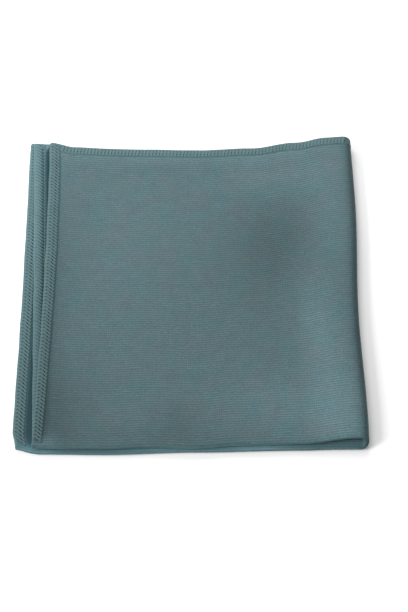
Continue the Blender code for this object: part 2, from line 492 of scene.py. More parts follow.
    def stack_gaps(self, x: float, y: float) -> tuple[float, float, float, float]:
        """Gives the free heights in the stack at a place seen from above.

        Args:
            x: the place from left to right.
            y: the place from front to back.

        Returns:
            The height of the lowest sheet over the floor, then the free heights of the lower
            pair, between the pairs, and of the upper pair.
        """
        run = 0.5 - y / (2 * self.half_depth)
        back = read_edge(self.back_edge, x) - y
        from_right = ease((self.right_edge(y) - self.outer_radius - x) / self.right_taper)
        from_front = ease((y - read_edge(self.upper_crease, x) - self.pair_radius) / self.front_taper)
        inside = from_right * from_front
        lower = self.hem_pile(x, self.third.left(run), back, self.lower_reach)
        book = self.hem_pile(x, self.second.left(run), back, self.book_reach)
        upper = self.hem_pile(x, self.top.left(run), back, self.upper_reach)
        at_back = 1 - ease((back - self.hem_width) / self.upper_reach)
        crease_pair = self.pair_gap_at_crease + self.more_pair_gap_at_back * at_back
        swell = sum(one.height(x, y) for one in self.swells)
        spot = Vector((x, y * self.ripple_stretch, 0.0)) / self.ripple_length
        swell += self.ripple * (1 + noise.noise(spot))
        return (
            self.hem_floor * lower,
            mix(crease_pair, self.pressed_gap + self.hem_gap * lower, inside),
            mix(self.book_gap_at_crease, self.pressed_gap + self.hem_gap * book, from_right),
            mix(crease_pair, self.pressed_gap + self.hem_gap * upper + swell, inside),
        )

    def fold_point(self, across: float, along: float, depth: float) -> Vector:
        """Moves a point of the flat cloth to its place in the folded one.

        Args:
            across: the point's place from the left hem.
            along: the point's place from the hem that ends at the back.
            depth: the point's height over the sheet's middle, on the outer face.

        Returns:
            The point's place in the folded cloth.
        """
        front_turn, book_turn = self.front_turn(along), self.book_turn(across)
        under = (1 - math.cos(front_turn)) / 2
        run = min(along, self.flat.length - along, self.front_start) / self.front_start
        outer, inner, panel = self.top, self.second, 1.0
        if across < self.right_start:
            panel = across / self.right_start
        elif across > self.right_end:
            outer, inner = self.bottom, self.third
            panel = (self.flat.width - across) / (self.flat.width - self.right_end)
        mean_y = mix(self.half_depth, -self.half_depth, run)
        crease_x = self.right_edge(mean_y) - self.outer_radius
        left = mix(outer.left(run), inner.left(run), under)
        x = mix(left, crease_x, panel)

        turned = self.turned(across)
        top_shift = mix(self.top.back_shift, self.bottom.back_shift, turned)
        under_shift = mix(self.second.back_shift, self.third.back_shift, turned)
        back = read_edge(self.back_edge, x) + mix(top_shift, under_shift, under)
        front = mix(read_edge(self.upper_crease, x), read_edge(self.lower_crease, x), turned)
        y = mix(back, front + self.pair_radius + self.flat.half_sheet, run)

        line = 1 + under + 2 * turned
        x += self.loose_edge(along, x - left, line)
        y -= self.loose_edge(across, back - y, line + self.back_lines)

        floor, lower_gap, book_gap, upper_gap = self.stack_gaps(x, y)
        lower_spread, upper_spread = (self.sheet + lower_gap) / 2, (self.sheet + upper_gap) / 2
        lower_middle = floor + self.flat.half_sheet + lower_spread
        upper_middle = lower_middle + lower_spread + self.sheet + book_gap + upper_spread
        off_middle = (mix(upper_spread, lower_spread, turned) + depth) * math.cos(front_turn)
        y -= (self.pair_radius + depth) * math.sin(front_turn)
        if book_turn == 0.0:
            return Vector((x, y, upper_middle + off_middle))
        if book_turn == math.pi:
            return Vector((x, y, lower_middle - off_middle))
        radius = (upper_middle - lower_middle) / 2 + off_middle
        x += radius * math.sin(book_turn)
        return Vector((x, y, (lower_middle + upper_middle) / 2 + radius * math.cos(book_turn)))

    def centre(self, place: Vector) -> Vector:
        """Moves a folded point so that the middle of the whole outline comes to the origin."""
        return place - Vector((*self.middle, 0.0))

    def hem_painted_shading(self, across: float, along: float) -> float:
        """Gives the light or shade painted on the nearest left hem of the folded cloth.

        Args:
            across: the point's place from the left hem of the flat cloth.
            along: the point's place from the hem that ends at the back.

        Returns:
            The change, as a share of the brightness.
        """
        run = min(along, self.flat.length - along) / self.front_start
        under = along > self.flat.length / 2
        if across < self.flat.width / 2:
            return (self.second if under else self.top).tone(run)
        return (self.third if under else self.bottom).tone(run)

    def loose_edge(self, place: float, inward: float, line: float) -> float:
        """Gives how far a hem's uneven line moves in: lines 1 to 4 are at the left, 6 to 9 at the back."""
        near = 1 - ease(inward / self.edge_wander_reach)
        return self.edge_wander * near * wander(place / self.edge_wander_length, line)


def even_steps(start: float, end: float, count: int) -> list[float]:
    """Lists count places that divide the stretch from start to end, with its end left out."""
    return [mix(start, end, step / count) for step in range(count)]


@dataclass(frozen=True)
class Tint:
    """A colour in linear light."""

    red: float
    green: float
    blue: float

    def rgba(self) -> tuple[float, float, float, float]:
        """Gives the colour for a shader's socket."""
        return self.red, self.green, self.blue, 1.0


@dataclass(frozen=True)
class Grain:
    """A soft noise: how many lumps it has in a metre, and how many finer layers."""

    scale: float
    detail: float


@dataclass(frozen=True)
class Gloss:
    """How a surface shines, and the soft sheen of its pile."""

    roughness: float
    specular: float
    sheen: float = 0.0
    sheen_roughness: float = 0.5
    sheen_tint: Tint = Tint(1.0, 1.0, 1.0)


@dataclass(frozen=True)
class Relief:
    """How a height raises the shading: how much of it shows, and how high a height of 1 is."""

    strength: float
    distance: float


class NodeDesk:
    """Lays out a material's nodes."""

    def __init__(self, name: str) -> None:
        """Makes an empty material with one shader.

        Args:
            name: the material's name.
        """
        self.material = bpy.data.materials.new(name)
        self.material.use_nodes = True
        self.tree = self.material.node_tree
        self.shader = self.tree.nodes["Principled BSDF"]

    def add(self, kind: str, **settings: object) -> bpy.types.Node:
        """Adds a node and sets its properties.

        Args:
            kind: the node's type, without the word that all shader nodes share.
            settings: the node's properties.

        Returns:
            The node.
        """
        node = self.tree.nodes.new("ShaderNode" + kind)
        for name, value in settings.items():
            setattr(node, name, value)
        return node

    def feed(self, socket: bpy.types.NodeSocket, value: object) -> None:
        """Links a socket's output into an input, or sets the input to a number or a colour.

        Args:
            socket: the input.
            value: another node's output, or the value.
        """
        if isinstance(value, bpy.types.NodeSocket):
            self.tree.links.new(value, socket)
        else:
            socket.default_value = value

    def math(self, operation: str, *values: object) -> bpy.types.NodeSocket:
        """Adds a step of arithmetic.

        Args:
            operation: the name of the operation.
            values: one to three numbers or outputs.

        Returns:
            The result's output.
        """
        node = self.add("Math", operation=operation)
        for socket, value in zip(node.inputs, values):
            self.feed(socket, value)
        return node.outputs[0]

    def noise(self, place: bpy.types.NodeSocket, grain: Grain) -> bpy.types.NodeSocket:
        """Adds a soft noise and gives its value, about 0.5 on average.

        Args:
            place: the coordinates, in metres.
            grain: how fine it is.

        Returns:
            The noise's output.
        """
        node = self.add("TexNoise")
        self.feed(node.inputs["Vector"], place)
        node.inputs["Scale"].default_value = grain.scale
        node.inputs["Detail"].default_value = grain.detail
        return node.outputs["Fac"]

    def reading(self, name: str) -> bpy.types.NodeSocket:
        """Gives the number of that name which the mesh holds at each of its corners."""
        return self.add("Attribute", attribute_name=name).outputs["Fac"]

    def blend(self, share: object, first: object, second: object) -> bpy.types.NodeSocket:
        """Mixes two colours.

        Args:
            share: how much of the second there is.
            first: the colour at share 0.
            second: the colour at share 1.

        Returns:
            The mixed colour's output.
        """
        node = self.add("Mix", data_type="RGBA")
        self.feed(node.inputs["Factor"], share)
        self.feed(node.inputs["A"], first)
        self.feed(node.inputs["B"], second)
        return node.outputs["Result"]

    def paint(self, colour: bpy.types.NodeSocket, painted_light_and_shade: bpy.types.NodeSocket) -> None:
        """Gives the surface a colour that is made lighter or darker by painted light and shade.

        Args:
            colour: the colour's output.
            painted_light_and_shade: the output of the painted change, as a share of the brightness.
        """
        painted_lighting = self.add("VectorMath", operation="SCALE")
        self.feed(painted_lighting.inputs[0], colour)
        self.feed(painted_lighting.inputs["Scale"], self.math("ADD", painted_light_and_shade, 1.0))
        self.feed(self.shader.inputs["Base Color"], painted_lighting.outputs[0])

    def bump(self, height: bpy.types.NodeSocket, relief: Relief) -> None:
        """Lets a height raise the surface's shading.

        Args:
            height: the height's output.
            relief: how much it raises it.
        """
        node = self.add("Bump")
        node.inputs["Strength"].default_value = relief.strength
        node.inputs["Distance"].default_value = relief.distance
        self.feed(node.inputs["Height"], height)
        self.feed(self.shader.inputs["Normal"], node.outputs["Normal"])

    def polish(self, gloss: Gloss) -> None:
        """Sets how the surface shines, on the shader's own sockets.

        Args:
            gloss: the surface's gloss and sheen.
        """
        sockets = self.shader.inputs
        sockets["Roughness"].default_value = gloss.roughness
        sockets["Specular IOR Level"].default_value = gloss.specular
        sockets["Sheen Weight"].default_value = gloss.sheen
        sockets["Sheen Roughness"].default_value = gloss.sheen_roughness
        sockets["Sheen Tint"].default_value = gloss.sheen_tint.rgba()


@dataclass(frozen=True)
class MicrofibreFinish:
    """Ribbed blue-green microfibre: fine ribs of short looped pile, with a soft sheen.

    The drifts set how far the ribs and loops stray. The lights set how much painted light the ribs'
    and the loops' crests get, and how much the finer grains lighten the pile at random; the heights
    set how far they stand up. Worn patches let between rib_rest and rib_wear more of the ribs'
    painted light show, and other patches fade.
    """

    light: Tint = Tint(0.086, 0.149, 0.160)
    dark: Tint = Tint(0.021, 0.051, 0.059)
    faded_light: Tint = Tint(0.097, 0.140, 0.153)
    faded_dark: Tint = Tint(0.031, 0.049, 0.055)
    # The colour of the painted shade in the hollows: between hem threads, beside a covering hem and in the
    # gap between the front creases.
    painted_shade_tint: Tint = Tint(0.008, 0.035, 0.045)
    rib_pitch: float = 1.45 * MM
    loop_pitch: float = 1.10 * MM
    broad: Grain = Grain(28.0, 3.0)
    patchy: Grain = Grain(150.0, 2.0)
    fuzz: Grain = Grain(620.0, 1.0)
    fine: Grain = Grain(1500.0, 2.0)
    fade: Grain = Grain(70.0, 3.0)
    broad_drift: float = 7.0
    fuzz_drift: float = 3.5
    rib_wear: float = 0.7
    rib_rest: float = 0.1
    rib_light: float = 0.75
    loop_light: float = 0.10
    fine_light: float = 0.65
    fuzz_light: float = 0.35
    less_light: float = 0.10
    fade_gain: float = 2.4
    fade_start: float = -0.70
    loop_height: float = 0.25
    fine_height: float = 0.6
    relief: Relief = Relief(strength=0.55, distance=0.22 * MM)
    gloss: Gloss = Gloss(
        roughness=0.9,
        specular=0.15,
        sheen=0.145,
        sheen_roughness=0.45,
        sheen_tint=Tint(0.75, 0.92, 0.95),
    )

    def make(self, flat: FlatCloth) -> bpy.types.Material:
        """Makes the material.

        Args:
            flat: the flat cloth, whose size sets how many ribs there are.

        Returns:
            The material.
        """
        desk = NodeDesk("microfibre")
        parts = desk.add("SeparateXYZ")
        desk.feed(parts.inputs[0], desk.add("UVMap", uv_map=FLAT_MAP).outputs["UV"])
        across, along = parts.outputs["X"], parts.outputs["Y"]
        true_place = desk.add("CombineXYZ")
        desk.feed(true_place.inputs["X"], desk.math("MULTIPLY", across, 2 * flat.width))
        desk.feed(true_place.inputs["Y"], desk.math("MULTIPLY", along, flat.length))
        spot = true_place.outputs[0]
        fuzz, fine = desk.noise(spot, self.fuzz), desk.noise(spot, self.fine)

        drift = desk.math("MULTIPLY", fuzz, self.fuzz_drift)
        drift = desk.math("MULTIPLY_ADD", desk.noise(spot, self.broad), self.broad_drift, drift)
        ribs = self.waves(desk, along, math.tau * flat.length / self.rib_pitch, drift)
        loops = self.waves(desk, across, math.tau * 2 * flat.width / self.loop_pitch, drift)

        # The ribs' and the loops' crests are painted lighter and their hollows darker, as painted light
        # and shade; the finer grains vary the tone at random.
        wear = desk.math("MULTIPLY_ADD", desk.noise(spot, self.patchy), self.rib_wear, self.rib_rest)
        level = desk.math("MULTIPLY", loops, self.loop_light)
        level = desk.math("MULTIPLY_ADD", desk.math("MULTIPLY", ribs, wear), self.rib_light, level)
        level = desk.math("MULTIPLY_ADD", fine, self.fine_light, level)
        level = desk.math("MULTIPLY_ADD", fuzz, self.fuzz_light, level)
        level = desk.math("SUBTRACT", level, self.less_light)
        self.colour(desk, spot, level)

        height = desk.math("MULTIPLY_ADD", loops, self.loop_height, ribs)
        desk.bump(desk.math("MULTIPLY_ADD", fine, self.fine_height, height), self.relief)
        desk.polish(self.gloss)
        return desk.material

    def waves(
        self, desk: NodeDesk, place: bpy.types.NodeSocket, turns: float, drift: bpy.types.NodeSocket
    ) -> bpy.types.NodeSocket:
        """Makes waves from 0 to 1 over a direction of the flat map: turns is their angle in all."""
        phase = desk.math("MULTIPLY_ADD", place, turns, drift)
        return desk.math("MULTIPLY_ADD", desk.math("SINE", phase), 0.5, 0.5)

    def colour(self, desk: NodeDesk, spot: bpy.types.NodeSocket, level: bpy.types.NodeSocket) -> None:
        """Colours the pile: painted lighter where it stands up, faded in patches, with painted shade in
        the hollows, and made lighter or darker by the painted light and shade.

        Args:
            desk: the material's nodes.
            spot: the place on the flat cloth, in metres.
            level: how much painted light the pile gets, with its grain, from 0 to 1.
        """
        fresh_cloth = desk.blend(level, self.dark.rgba(), self.light.rgba())
        faded_cloth = desk.blend(level, self.faded_dark.rgba(), self.faded_light.rgba())
        patches = desk.math("MULTIPLY_ADD", desk.noise(spot, self.fade), self.fade_gain, self.fade_start)
        patches.node.use_clamp = True
        fading = desk.math("MULTIPLY", patches, desk.math("SUBTRACT", 1.0, desk.reading("fresh")))
        fabric = desk.blend(fading, fresh_cloth, faded_cloth)
        shaded = desk.blend(desk.reading("painted_shade"), fabric, self.painted_shade_tint.rgba())
        desk.paint(shaded, desk.reading("painted_light_and_shade"))


@dataclass(frozen=True)
class ThreadFinish:
    """Bulky polyester sewing thread, about as light as the cloth."""

    light: Tint = Tint(0.084, 0.147, 0.158)
    dark: Tint = Tint(0.042, 0.083, 0.090)
    strands: Grain = Grain(2600.0, 2.0)
    broad: Grain = Grain(160.0, 2.0)
    strand_light: float = 0.8
    broad_light: float = 0.5
    less_light: float = 0.15
    relief: Relief = Relief(strength=0.4, distance=0.08 * MM)
    gloss: Gloss = Gloss(roughness=0.7, specular=0.25, sheen=0.15, sheen_roughness=0.4)

    def make(self) -> bpy.types.Material:
        """Makes the material.

        Returns:
            The material.
        """
        desk = NodeDesk("sewing_thread")
        place = desk.add("TexCoord").outputs["Object"]
        strands = desk.noise(place, self.strands)
        level = desk.math("MULTIPLY", desk.noise(place, self.broad), self.broad_light)
        level = desk.math("MULTIPLY_ADD", strands, self.strand_light, level)
        level = desk.math("SUBTRACT", level, self.less_light)
        # The thread's colour is made lighter or darker by its hem's painted light and shade.
        desk.paint(desk.blend(level, self.dark.rgba(), self.light.rgba()), desk.reading("painted_light_and_shade"))
        desk.bump(strands, self.relief)
        desk.polish(self.gloss)
        return desk.material


@dataclass(frozen=True)
class FloorFinish:
    """A plain, pale, matt table top."""

    pale: Tint = Tint(0.92, 0.92, 0.92)
    gloss: Gloss = Gloss(roughness=0.95, specular=0.1)

    def make(self) -> bpy.types.Material:
        """Makes the material.

        Returns:
            The material.
        """
        desk = NodeDesk("pale_floor")
        desk.shader.inputs["Base Color"].default_value = self.pale.rgba()
        desk.polish(self.gloss)
        return desk.material


def dress(name: str, shape: bmesh.types.BMesh, material: bpy.types.Material) -> bpy.types.Object:
    """Makes a smooth object of a finished shape.

    Args:
        name: the object's name.
        shape: the shape, which is used up.
        material: its finish.

    Returns:
        The object, at the origin.
    """
    mesh = bpy.data.meshes.new(name)
    shape.to_mesh(mesh)
    shape.free()
    mesh.materials.append(material)
    mesh.shade_smooth()
    piece = bpy.data.objects.new(name, mesh)
    bpy.context.scene.collection.objects.link(piece)
    LOG.info("%s: %d faces", name, len(mesh.polygons))
    return piece


@dataclass
class ClothSheet:
    """The cloth itself: a fine slab with its hem profile, carried through both folds.

    Each corner of its mesh holds three numbers for the finish. The first is the shade painted in
    the hollows, the second the light and shade painted on the pile, and the third how fresh its
    colour is. The seam is the gap between the two front creases, painted with shade and light, the
    lip is the lower crease's edge, painted lighter, and the slot is the part of a lower quarter, inside
    its hem, that the quarter above covers, painted with shade.
    """

    fold: FoldedShape
    finish: MicrofibreFinish = field(default_factory=MicrofibreFinish)
    near_cells: int = 98
    far_cells: int = 46
    crease_cells: int = 12
    map_margin: float = 0.006
    rim_margin: float = 0.003
    press_reach: float = 5 * MM
    pressed_half: float = 0.56 * MM
    # Patches of painted light and shade on the top quarter.
    painted_shading_patches: tuple[Swell, ...] = (
        Swell(0 * MM, 90 * MM, 300 * MM, 16 * MM, 0, 0.12),
        Swell(52 * MM, 78 * MM, 30 * MM, 20 * MM, 0, 0.20),
        Swell(88 * MM, 48 * MM, 12 * MM, 26 * MM, 0, 0.10),
        Swell(52 * MM, 28 * MM, 24 * MM, 36 * MM, -8, -0.22),
        Swell(79 * MM, -42 * MM, 14 * MM, 46 * MM, 12, 0.28),
        Swell(58 * MM, -78 * MM, 36 * MM, 20 * MM, 0, 0.24),
        Swell(88 * MM, -88 * MM, 20 * MM, 22 * MM, 0, 0.20),
        Swell(-84 * MM, -84 * MM, 26 * MM, 30 * MM, 0, -0.27),
        Swell(-20 * MM, -98 * MM, 60 * MM, 9 * MM, 0, -0.13),
        Swell(-86 * MM, -5 * MM, 12 * MM, 55 * MM, 0, -0.16),
        Swell(-48 * MM, 25 * MM, 20 * MM, 50 * MM, 0, 0.05),
        Swell(-8 * MM, -86 * MM, 12 * MM, 10 * MM, 0, -0.12),
        Swell(-86 * MM, -101 * MM, 9 * MM, 5 * MM, 0, 0.50),
    )
    # Painted shade on the right roll, which turns away from the light.
    roll_painted_shade: float = -0.38
    roll_reach: float = 9.0 * MM
    fresh_hem: float = 7.0 * MM
    fresh_reach: float = 3.0 * MM
    fresh_right: float = 0.3
    # The gap between the front creases: the shade painted in it, the light painted over that, and the
    # spots where it gets more of that light.
    seam_reach: float = 3.5 * MM
    seam_painted_shade: float = 0.35
    seam_painted_light: tuple[float, float] = (0.10, 1.30)
    seam_start: tuple[float, float] = (0.30, 0.65)
    seam_run: float = 0.25
    seam_painted_light_spots: tuple[Swell, ...] = (
        Swell(-76 * MM, 0.0, 9 * MM, 1.0, 0, 0.8),
        Swell(0 * MM, 0.0, 30 * MM, 1.0, 0, 0.6),
        Swell(50 * MM, 0.0, 20 * MM, 1.0, 0, 1.0),
    )
    # Painted light on the lower front crease's edge.
    lip_painted_light: float = 0.40
    lip_reach: float = 9.0 * MM
    lip_start: float = 0.45 * math.pi
    lip_run: float = 0.4 * math.pi
    # Painted shade beside the left hem of the quarter above, on the second, third and bottom quarters.
    slot_painted_shade: tuple[float, float, float] = (0.92, 0.82, 0.82)
    slot_end: float = 3.0 * MM
    slot_start: float = 7.1 * MM
    slot_reach: float = 0.8 * MM
    slot_width: float = 14 * MM

    def places(self, total: float, crease_start: float, crease_end: float, share: float) -> list[float]:
        """Lists where the flat cloth is divided in one direction.

        Args:
            total: the flat cloth's size in this direction.
            crease_start: where the crease starts.
            crease_end: where the crease ends.
            share: the hems' width in this direction, as a share of the table's.

        Returns:
            The places, closest in the hems and the crease, and closer on the side that shows.
        """
        hem = [step.inward * share for step in self.fold.flat.hem]
        listed = hem[:-1]
        listed += even_steps(hem[-1], crease_start, self.near_cells)
        listed += even_steps(crease_start, crease_end, self.crease_cells)
        listed += even_steps(crease_end, total - hem[-1], self.far_cells)
        listed += [total - inward for inward in reversed(hem)]
        return listed

    def near_crease(self, along: float, reach: float) -> float:
        """Gives 1 in the front crease, going to 0 at the given reach from it."""
        off_crease = max(self.fold.front_start - along, along - self.fold.front_end)
        return 1 - ease(off_crease / reach)

    def half_thickness(self, across: float, along: float) -> float:
        """Gives half the cloth's thickness, with the hems pressed a little in the front crease.

        Args:
            across: the point's place across the flat cloth.
            along: its place along it.

        Returns:
            Half the thickness.
        """
        half = self.fold.flat.hem_at(across, along).half
        pressed = min(half, self.pressed_half)
        return mix(half, pressed, self.near_crease(along, self.press_reach))

    def map_place(self, across: float, along: float, face: Face, rim: bool) -> tuple[float, float]:
        """Gives a point's place on the flat map, the outer face at the left and the inner at the right.

        Args:
            across: the point's place across the flat cloth.
            along: the point's place along it.
            face: the face that it is on.
            rim: whether the point is on the inner side of the cloth's thin rim.

        Returns:
            The place on the map, from 0 to 1 both ways.
        """
        flat = self.fold.flat
        share_x, share_y = across / flat.width, along / flat.length
        if rim:
            reach_x = self.rim_margin * (share_x >= 1) - self.rim_margin * (share_x <= 0)
            reach_y = self.rim_margin * (share_y >= 1) - self.rim_margin * (share_y <= 0)
        else:
            reach_x = reach_y = 0.0
        start = 0.0 if face is Face.OUTER else 0.5
        u = start + mix(self.map_margin, 0.5 - self.map_margin, share_x) + reach_x
        v = mix(self.map_margin, 1 - self.map_margin, share_y) + reach_y
        return u, v

    def lay_flat(self) -> bmesh.types.BMesh:
        """Makes the flat cloth as a slab of height 2, with its faces outwards.

        Returns:
            The slab.
        """
        fold, flat = self.fold, self.fold.flat
        columns = self.places(flat.width, fold.right_start, fold.right_end, 1.0)
        rows = self.places(flat.length, fold.front_start, fold.front_end, flat.cross_share)
        shape = bmesh.new()
        x_cells, y_cells = len(columns) - 1, len(rows) - 1
        bmesh.ops.create_grid(shape, x_segments=x_cells, y_segments=y_cells, size=0.5)
        for vert in shape.verts:
            vert.co.x = columns[round((vert.co.x + 0.5) * x_cells)]
            vert.co.y = rows[round((vert.co.y + 0.5) * y_cells)]
            vert.co.z = Face.INNER.value
        grown = bmesh.ops.extrude_face_region(shape, geom=shape.faces[:], use_keep_orig=True)
        for part in grown["geom"]:
            if isinstance(part, bmesh.types.BMVert):
                part.co.z = Face.OUTER.value
        bmesh.ops.recalc_face_normals(shape, faces=shape.faces[:])
        return shape

    def draw_map(self, shape: bmesh.types.BMesh) -> None:
        """Lays the flat map on the slab.

        Args:
            shape: the flat slab.
        """
        layer = shape.loops.layers.uv.new(FLAT_MAP)
        for cell in shape.faces:
            sides = {round(corner.vert.co.z) for corner in cell.loops}
            rim = len(sides) > 1
            face = Face.OUTER if rim else Face(sides.pop())
            for corner in cell.loops:
                across, along, side = corner.vert.co
                inner_side = rim and side < 0
                corner[layer].uv = self.map_place(across, along, face, inner_side)

    def read_painted_shade(self, across: float, along: float) -> float:
        """Gives how much shade is painted on a point for the hollow it lies in.

        The hollows are those between the hem's threads, the one beside the hem of the quarter
        above, and the gap between the two front creases.

        Args:
            across: the point's place across the flat cloth.
            along: its place along it.

        Returns:
            The share of the painted shade's colour.
        """
        painted_groove_shade = self.fold.flat.hem_at(across, along).painted_shade
        painted_groove_shade *= 1 - self.near_crease(along, self.press_reach)
        seam = self.in_seam(across, along) * self.seam_painted_shade
        return both(both(painted_groove_shade, self.read_slot_painted_shade(across, along)), seam)

    def read_slot_painted_shade(self, across: float, along: float) -> float:
        """Gives the shade painted on a lower quarter where the left hem of the quarter above covers it.

        Args:
            across: the point's place across the flat cloth.
            along: its place along it.

        Returns:
            The share of the painted shade's colour.
        """
        under = ease(self.fold.front_turn(along) / math.pi)
        second, third, bottom = self.slot_painted_shade
        painted_slot_shade = mix(second * under, mix(bottom, third, under), self.fold.turned(across))
        in_slot = self.fold.flat.from_side(across, along) - self.slot_start
        painted_slot_shade *= ease(in_slot / self.slot_reach) * (1 - ease(in_slot / self.slot_width - 1))
        return painted_slot_shade * (1 - self.near_crease(along, self.slot_end))

    def read_painted_shading(self, across: float, along: float, place: Vector) -> float:
        """Gives how much light or shade is painted on the pile at a point.

        Args:
            across: the point's place across the flat cloth.
            along: its place along it.
            place: its place in the folded cloth.

        Returns:
            The change, as a share of the cloth's own brightness.
        """
        on_top = math.cos(min(self.fold.front_turn(along), math.pi / 2))
        on_top *= math.cos(min(self.fold.book_turn(across), math.pi / 2))
        painted_lighting = sum(one.height(place.x, place.y) for one in self.painted_shading_patches) * on_top
        to_right = self.fold.right_edge(place.y) - place.x
        painted_lighting += self.roll_painted_shade * (1 - ease(to_right / self.roll_reach))
        from_side = min(across, self.fold.flat.width - across)
        hem = 1 - ease((from_side - self.fresh_hem) / self.fresh_reach)
        return painted_lighting + self.read_painted_crease_light(across, along) + hem * self.fold.hem_painted_shading(across, along)

    def read_painted_crease_light(self, across: float, along: float) -> float:
        """Gives the light painted on the lower front crease and in the gap over it.

        Args:
            across: the point's place across the flat cloth.
            along: its place along it.

        Returns:
            The change, as a share of the cloth's own brightness.
        """
        lip = ease((self.fold.front_turn(along) - self.lip_start) / self.lip_run)
        lip *= self.near_crease(along, self.lip_reach)
        seam = self.in_seam(across, along) * mix(*self.seam_painted_light, self.seam_painted_light_share(across))
        return seam + lip * self.fold.turned(across) * self.lip_painted_light

    def seam_painted_light_share(self, across: float) -> float:
        """Gives 1 where the gap between the two front creases is painted lightest, as if they closed on
        each other, and 0 where it is painted least.

        Args:
            across: the place across the flat cloth.

        Returns:
            The share of the gap's stronger painted light, from 0 to 1.
        """
        inward = mix(across, self.fold.flat.width - across, self.fold.turned(across))
        x = self.fold.top.left_at_front + inward
        return min(1.0, sum(one.height(x, 0.0) for one in self.seam_painted_light_spots))

    def in_seam(self, across: float, along: float) -> float:
        """Gives 1 where a front crease faces the other one, going to 0 away from the gap.

        Args:
            across: the point's place across the flat cloth.
            along: its place along it.

        Returns:
            The share of the gap's painted shade and painted light that the point takes.
        """
        turn = self.fold.front_turn(along) / math.pi
        facing = ease((turn - mix(*self.seam_start, self.fold.turned(across))) / self.seam_run)
        return facing * self.near_crease(along, self.seam_reach)

    def read_fresh(self, across: float, along: float) -> float:
        """Gives how far the cloth has kept its colour.

        It has kept it in its hems, from the front crease on, and a little from the right one on.

        Args:
            across: the point's place across the flat cloth.
            along: its place along it.

        Returns:
            The share, from 0 where it can fade to 1.
        """
        fold = self.fold
        near_edge = 1 - ease((fold.flat.from_edge(across, along) - self.fresh_hem) / self.fresh_reach)
        off_front = (fold.front_start - along) / self.fresh_reach
        off_right = (fold.right_start - across) / self.fresh_reach
        return both(near_edge, both(1 - ease(off_front), (1 - ease(off_right)) * self.fresh_right))

    def build(self) -> bpy.types.Object:
        """Makes the folded cloth.

        Returns:
            The cloth's object.
        """
        shape = self.lay_flat()
        self.draw_map(shape)
        painted_shade = shape.verts.layers.float.new("painted_shade")
        painted_light_and_shade = shape.verts.layers.float.new("painted_light_and_shade")
        fresh = shape.verts.layers.float.new("fresh")
        flat = self.fold.flat
        for vert in shape.verts:
            across, along, side = vert.co
            depth = math.copysign(self.half_thickness(across, along), side)
            place = self.fold.fold_point(*flat.round_corner(across, along), depth)
            vert.co = self.fold.centre(place)
            vert[painted_shade] = self.read_painted_shade(across, along)
            vert[painted_light_and_shade] = self.read_painted_shading(across, along, place)
            vert[fresh] = self.read_fresh(across, along)
        bmesh.ops.reverse_faces(shape, faces=shape.faces[:])
        return dress("folded_cloth", shape, self.finish.make(flat))


class Hem(Enum):
    """The four hems, in their order round the flat cloth."""

    LEFT = 0
    FRONT = 1
    RIGHT = 2
    BACK = 3

    @property
    def crosses(self) -> bool:
        """Whether it is one of the two cross hems, at the front and the back of the flat cloth."""
        return self in (Hem.FRONT, Hem.BACK)


@dataclass(frozen=True)
class StrandStep:
    """A thread's place and size at one distance in from the edge: height is over the sheet's middle."""

    inward: float
    height: float
    half_width: float
    half_depth: float


